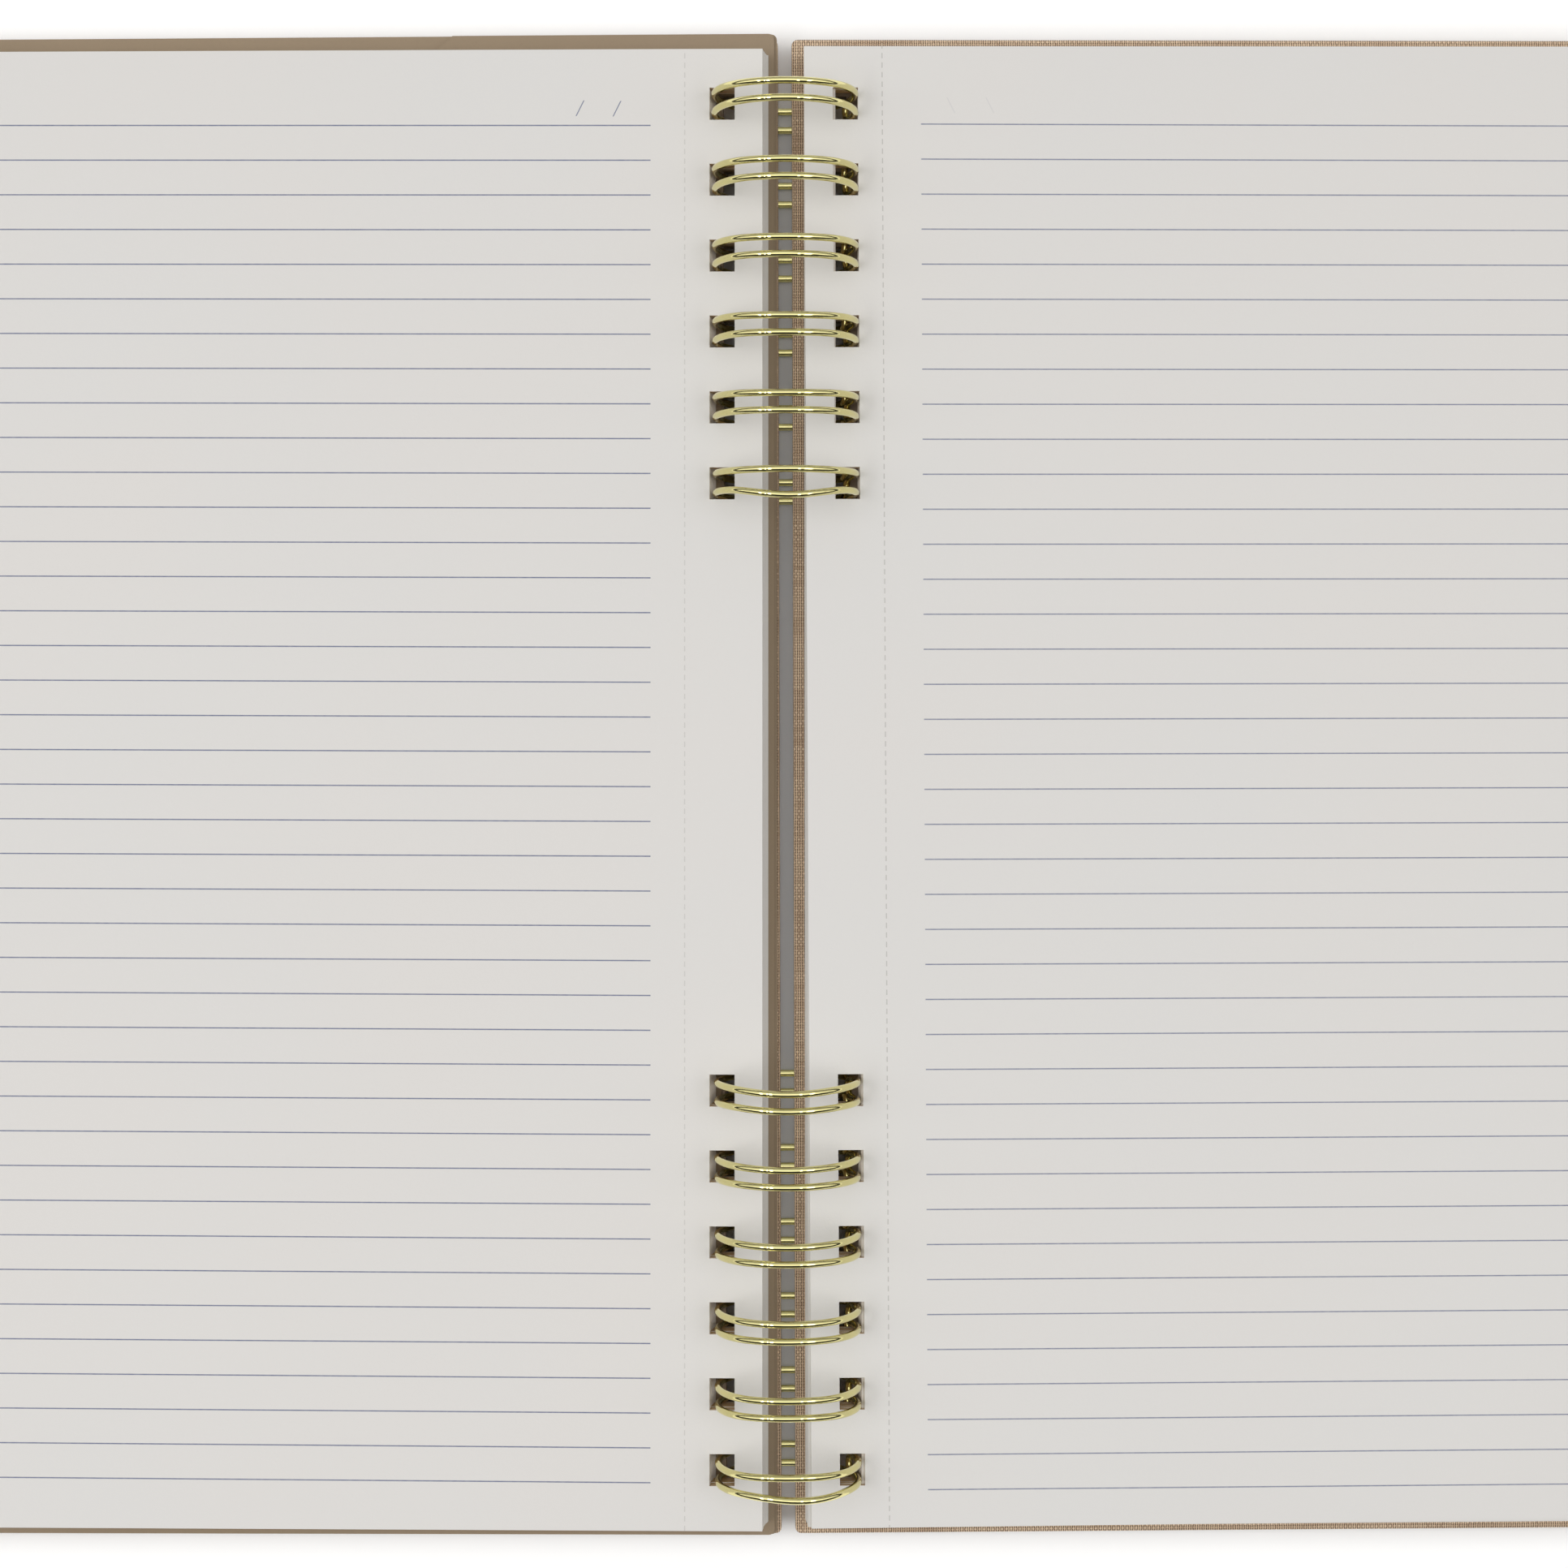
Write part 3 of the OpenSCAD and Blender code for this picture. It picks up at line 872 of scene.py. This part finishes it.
# %% Folder finish
def folder_card():
    finish = Finish("folder_card")
    x, y, z = finish.place()
    at = finish.point(x, y, z)
    clouds = finish.noise(at, 25.0, detail=3.0)
    grain = finish.noise(at, 0.6, detail=4.0, rough=0.65)
    colour = finish.mix(clouds, rgb(147, 129, 106), rgb(155, 137, 114))
    colour = finish.mix(grain.rise(0.45, 0.8) * 0.12, colour, rgb(128, 113, 96))
    relief = finish.bump(grain, 0.02 * MM)
    return finish.set(Base_Color=colour, Roughness=0.62, Specular_IOR_Level=0.35, Normal=relief)


def card_core():
    finish = Finish("card_core")
    x, y, z = finish.place()
    fibres = finish.noise(finish.point(x, y, z * 8), 0.8, detail=3.0)
    colour = finish.mix(fibres, rgb(150, 132, 106), rgb(168, 150, 126))
    return finish.set(Base_Color=colour, Roughness=0.85, Specular_IOR_Level=0.2)


CARD = folder_card()
CARD_CORE = card_core()

# %% Fold the card
FOLDER_H = 254 * MM
FOLDER_W = 187 * MM
FOLDER_EDGE = 1.7 * MM
FOLDER_HOLE = FOLDER_EDGE + 5.2 * MM
CARD_T = 0.35 * MM
PANEL_GAP = 0.1 * MM
PANEL_STEP = 0.45 * MM
PANEL_TOP_W = 55 * MM
MOUTH_DROP = 110 * MM
FOLDER_CORNER_R = 1.0 * MM
FOLDER_SKEW = math.radians(0.126)
FOLDER_BASE = COVER_TOP - LAY_GAP


def fold_folder():
    fold_x = FOLDER_EDGE + FOLDER_W - FOLDER_T / 2
    back_z = -FOLDER_BASE + CARD_T / 2
    front_z = back_z + CARD_T + PANEL_GAP
    folder = start("pocket_folder_card", bpy.ops.mesh.primitive_plane_add, size=1,
                   location=((FOLDER_EDGE + fold_x) / 2, 0, back_z))
    bpy.ops.mesh.select_all(action="SELECT")
    bpy.ops.transform.resize(value=(fold_x - FOLDER_EDGE, FOLDER_H, 1),
                             center_override=((FOLDER_EDGE + fold_x) / 2, 0, back_z))
    pick(folder, "EDGE", lambda edge: all(v.co.x > fold_x - NEAR for v in edge.verts))
    bpy.ops.mesh.spin(steps=8, angle=math.pi, axis=(0, 1, 0),
                      center=(fold_x, 0, (back_z + front_z) / 2))
    back_to = FOLDER_EDGE + PANEL_STEP
    bpy.ops.mesh.extrude_edges_move(TRANSFORM_OT_translate={"value": (back_to - fold_x, 0, 0)})
    mesh = bmesh.from_edit_mesh(folder.data)
    print("front panel level off by", round(1000 * (max(v.co.z for v in mesh.verts) - front_z), 4))
    pick(folder, "VERT", lambda v: v.co.x < back_to + NEAR)
    bpy.ops.mesh.bevel(offset=FOLDER_CORNER_R, segments=4, affect="VERTICES")
    return folder, front_z


def cut_mouth(folder, front_z):
    high = Vector((FOLDER_EDGE + PANEL_TOP_W, FOLDER_H / 2, 0))
    low = Vector((FOLDER_EDGE + FOLDER_W, FOLDER_H / 2 - MOUTH_DROP, 0))
    away = Vector((high.y - low.y, low.x - high.x, 0)).normalized()
    bpy.ops.mesh.select_all(action="SELECT")
    bpy.ops.mesh.bisect(plane_co=high, plane_no=away)

    def beyond(face):
        centre = part_centre(face)
        return centre.z > front_z - (CARD_T + PANEL_GAP) / 2 and (centre - high).dot(away) > 0

    pick(folder, "FACE", beyond)
    bpy.ops.mesh.delete(type="FACE")


pocket, front_z = fold_folder()
cut_mouth(pocket, front_z)
punch(pocket, FOLDER_HOLE, far_wall(FOLDER_HOLE, FOLDER_BASE - FOLDER_T), -SIDE_PLAY)
bpy.ops.object.mode_set(mode="OBJECT")
modify(pocket, "SOLIDIFY", thickness=CARD_T, offset=0)
pocket.data.materials.append(CARD)
pocket.data.materials.append(CARD_CORE)
for face in pocket.data.polygons:
    flat = abs(face.normal.z) > 0.5 or face.center.x > FOLDER_EDGE + FOLDER_W - FOLDER_T
    face.material_index = 0 if flat else 1
bpy.ops.object.shade_smooth_by_angle(angle=math.radians(35))
askew = Matrix.Identity(4)
askew[0][1] = -math.tan(FOLDER_SKEW)
pocket.data.transform(askew)
lay_down(pocket, LEFT_HALF @ Matrix.Translation((0, SIDE_PLAY, 0)))
settle(pocket, "pocket_folder", "folder_card", "pocket_folder")

# %% [markdown]
# The wire combs
#
# Each comb is one length of wire, bent into six loops. It is drawn as the bending
# machine makes it, by carrying a round section along: spun about the ring axis for a
# leg, about a small centre for the tip and for the bends, and extruded along the seam.
# The legs of a real loop lean together a little at the top, the free last leg bows
# outwards, and each loop sways a few tenths towards the head or the foot, as do the roots
# of the upper comb. Vertex groups that weigh each point by its height on the ring let
# Displace modifiers do that.

# %% Wire finish
def gold_wire():
    finish = Finish("gold_wire")
    x, y, z = finish.place()
    at = finish.point(x, y, z)
    clouds = finish.noise(at, 5.0, detail=2.0)
    drawn = finish.noise(finish.point(x * 0.25, y * 6, z * 0.25), 0.6, detail=2.0)
    colour = finish.mix(clouds, rgb(222, 214, 150), rgb(232, 224, 164))
    colour = finish.mix(drawn.rise(0.6, 0.85) * 0.25, colour, rgb(176, 162, 96))
    relief = finish.bump(drawn, 0.004 * MM)
    return finish.set(Base_Color=colour, Metallic=1.0, Roughness=0.09, Normal=relief)


GOLD_WIRE = gold_wire()

# %% Bend one comb
SECTION_SIDES = 16
LEG_STEPS = 60
BEND_STEPS = 6
TIP_GAP = 0.05 * MM
ROOT_ANGLE = -math.asin(SEAM_DEPTH / ROOT_R)
LEG_START = ROOT_ANGLE - math.atan(BEND_R / RING_R)
TIP_REACH = 2 * WIRE_R + TIP_GAP
TIP_RISE = math.sqrt(TIP_REACH * (2 * LEG_Y + 2 * BEND_R + TIP_REACH)) - BEND_R
TIP_ANGLE = ROOT_ANGLE + TIP_RISE / RING_R
CUT_ANGLE = ROOT_ANGLE - 0.5 * WIRE_R / RING_R


def ring_point(angle, y):
    return Vector((RING_R * math.cos(angle), y, RING_R * math.sin(angle)))


def outward(angle):
    return Vector((math.cos(angle), 0, math.sin(angle)))


def onward(angle):
    """The direction in which the ring runs as the angle grows."""
    return Vector((-math.sin(angle), 0, math.cos(angle)))


def bend(turn, centre, axis, steps):
    bpy.ops.mesh.spin(steps=steps, angle=-turn, center=centre, axis=axis)


def leg(turn):
    bend(-turn, (0, 0, 0), (0, 1, 0), LEG_STEPS)


def bend_comb(name):
    first = ring_point(CUT_ANGLE, FIRST_LOOP - LEG_Y)
    comb = start(name, bpy.ops.mesh.primitive_circle_add, vertices=SECTION_SIDES, radius=WIRE_R,
                 fill_type="NOTHING", location=first, rotation=(0, -CUT_ANGLE, 0))
    bpy.ops.mesh.select_all(action="SELECT")
    for i in range(LOOPS):
        y = FIRST_LOOP + i * PITCH
        from_angle = 2 * math.pi + (CUT_ANGLE if i == 0 else LEG_START)
        to_angle = 2 * math.pi + (CUT_ANGLE if i == LOOPS - 1 else LEG_START)
        leg(TIP_ANGLE - from_angle)
        bend(math.pi, ring_point(TIP_ANGLE, y), outward(TIP_ANGLE), 2 * BEND_STEPS)
        leg(to_angle - TIP_ANGLE)
        if i < LOOPS - 1:
            seam_from = y + LEG_Y + BEND_R
            seam_to = y + PITCH - LEG_Y - BEND_R
            bend(-math.pi / 2, ring_point(LEG_START, seam_from), outward(LEG_START), BEND_STEPS)
            run = (0, seam_to - seam_from, 0)
            bpy.ops.mesh.extrude_edges_move(TRANSFORM_OT_translate={"value": run})
            bend(-math.pi / 2, ring_point(LEG_START, seam_to), outward(LEG_START), BEND_STEPS)
    mesh = bmesh.from_edit_mesh(comb.data)
    end = [v.co for v in mesh.verts if v.select]
    print("wire ends at", [round(1000 * c, 2) for c in sum(end, Vector()) / len(end)])
    bpy.ops.mesh.select_mode(type="EDGE")
    bpy.ops.mesh.select_all(action="DESELECT")
    bpy.ops.mesh.select_non_manifold(extend=False, use_wire=False, use_boundary=True,
                                     use_multi_face=False, use_non_contiguous=False,
                                     use_verts=False)
    bpy.ops.mesh.edge_face_add()
    return comb


# %% Lean, bow and sway of the legs, and nicks in the rings
LEAN = 0.2 * MM
BOW = 1.6 * MM
UPPER_SKEW = 0.1
LOWER_SKEW = 0.8
ROOT_SWAY = 0.45 * MM
CREST_POWER = 4
# One sway for each loop, from the loop nearest the foot to the one nearest the head
UPPER_SWAYS = (-0.06 * MM, 0.26 * MM, 0.29 * MM, 0.2 * MM, 0.18 * MM, 0.1 * MM)
LOWER_SWAYS = (-0.5 * MM, -0.31 * MM, -0.09 * MM, 0.02 * MM, 0.15 * MM, 0.46 * MM)
NICK_ANGLES = (math.radians(79), math.radians(107))
NICK_HALF = math.radians(1.1)
NICK_DEPTH = 0.09 * MM


def displace(obj, weight, distance):
    """Moves each vertex towards the foot by the distance times its weight."""
    group = obj.vertex_groups.new(name="share")
    for vertex in obj.data.vertices:
        group.add([vertex.index], min(1.0, max(0.0, weight(vertex.co))), "REPLACE")
    modify(obj, "DISPLACE", vertex_group=group.name, direction="Y", strength=-distance, mid_level=0)
    obj.vertex_groups.clear()


def height_share(point):
    """Zero below the ring axis, one at the top of the ring."""
    return max(0.0, point.z) / math.hypot(point.x, point.z)


def depth_share(point):
    """Zero above the ring axis, one at the bottom of the ring."""
    return max(0.0, -point.z) / math.hypot(point.x, point.z)


def crest_share(point):
    """As height_share, but gathered near the crest, so that the flanks stay in the holes."""
    return height_share(point) ** CREST_POWER


def loop_number(point):
    return round((point.y - FIRST_LOOP) / PITCH)


def lean_weight(sign):
    """The legs on one side of the middle of their loop."""
    def weight(point):
        offset = point.y - FIRST_LOOP - loop_number(point) * PITCH
        return height_share(point) if sign * offset > 0 else 0.0

    return weight


def bow_weight(skew):
    """The last leg, and with some skew its right flank most."""
    def weight(point):
        rightward = point.x / math.hypot(point.x, point.z)
        share = crest_share(point) * (1 + skew * rightward) / (1 + skew)
        return share if point.y < FIRST_LOOP - 0.5 * LEG_Y else 0.0

    return weight


def sway_weight(number):
    return lambda point: crest_share(point) if loop_number(point) == number else 0.0


def shape_legs(comb, skew, sways):
    bpy.context.view_layer.objects.active = comb
    displace(comb, lean_weight(1), LEAN)
    displace(comb, lean_weight(-1), -LEAN)
    displace(comb, bow_weight(skew), BOW)
    for number, sway in enumerate(sways):
        displace(comb, sway_weight(number), sway)


def nick(comb, angle):
    """Presses a small dent into the outside of every ring, as the closing tool leaves."""
    for turn in (-NICK_HALF, 0, NICK_HALF):
        bpy.ops.mesh.select_all(action="SELECT")
        bpy.ops.mesh.bisect(plane_co=(0, 0, 0), plane_no=onward(angle + turn))

    def on_crown(vertex):
        across = vertex.co.dot(onward(angle))
        return abs(across) < NEAR and vertex.co.dot(outward(angle)) > RING_R + 0.5 * WIRE_R

    pick(comb, "VERT", on_crown)
    bpy.ops.transform.translate(value=outward(angle) * -NICK_DEPTH)


# %% Place both combs
upper_comb = bend_comb("upper_comb")
for angle in NICK_ANGLES:
    nick(upper_comb, angle)
bpy.ops.object.mode_set(mode="OBJECT")
bpy.ops.object.shade_smooth_by_angle(angle=math.radians(50))
upper_comb.data.materials.append(GOLD_WIRE)
lower_comb = upper_comb.copy()
lower_comb.data = upper_comb.data.copy()
lower_comb.name = "lower_comb"
bpy.context.scene.collection.objects.link(lower_comb)
COMB_STEP = 2 * FIRST_LOOP + (LOOPS - 1) * PITCH
shape_legs(upper_comb, UPPER_SKEW, UPPER_SWAYS)
displace(upper_comb, depth_share, ROOT_SWAY)
shape_legs(lower_comb, LOWER_SKEW, LOWER_SWAYS)
lower_comb.data.transform(Matrix.Translation((0, -COMB_STEP, 0)))
for comb, node in ((upper_comb, "wire_comb_top"), (lower_comb, "wire_comb_bottom")):
    lay_down(comb, RIGHT_HALF)
    settle(comb, "back_cover", "ring_wire", node)
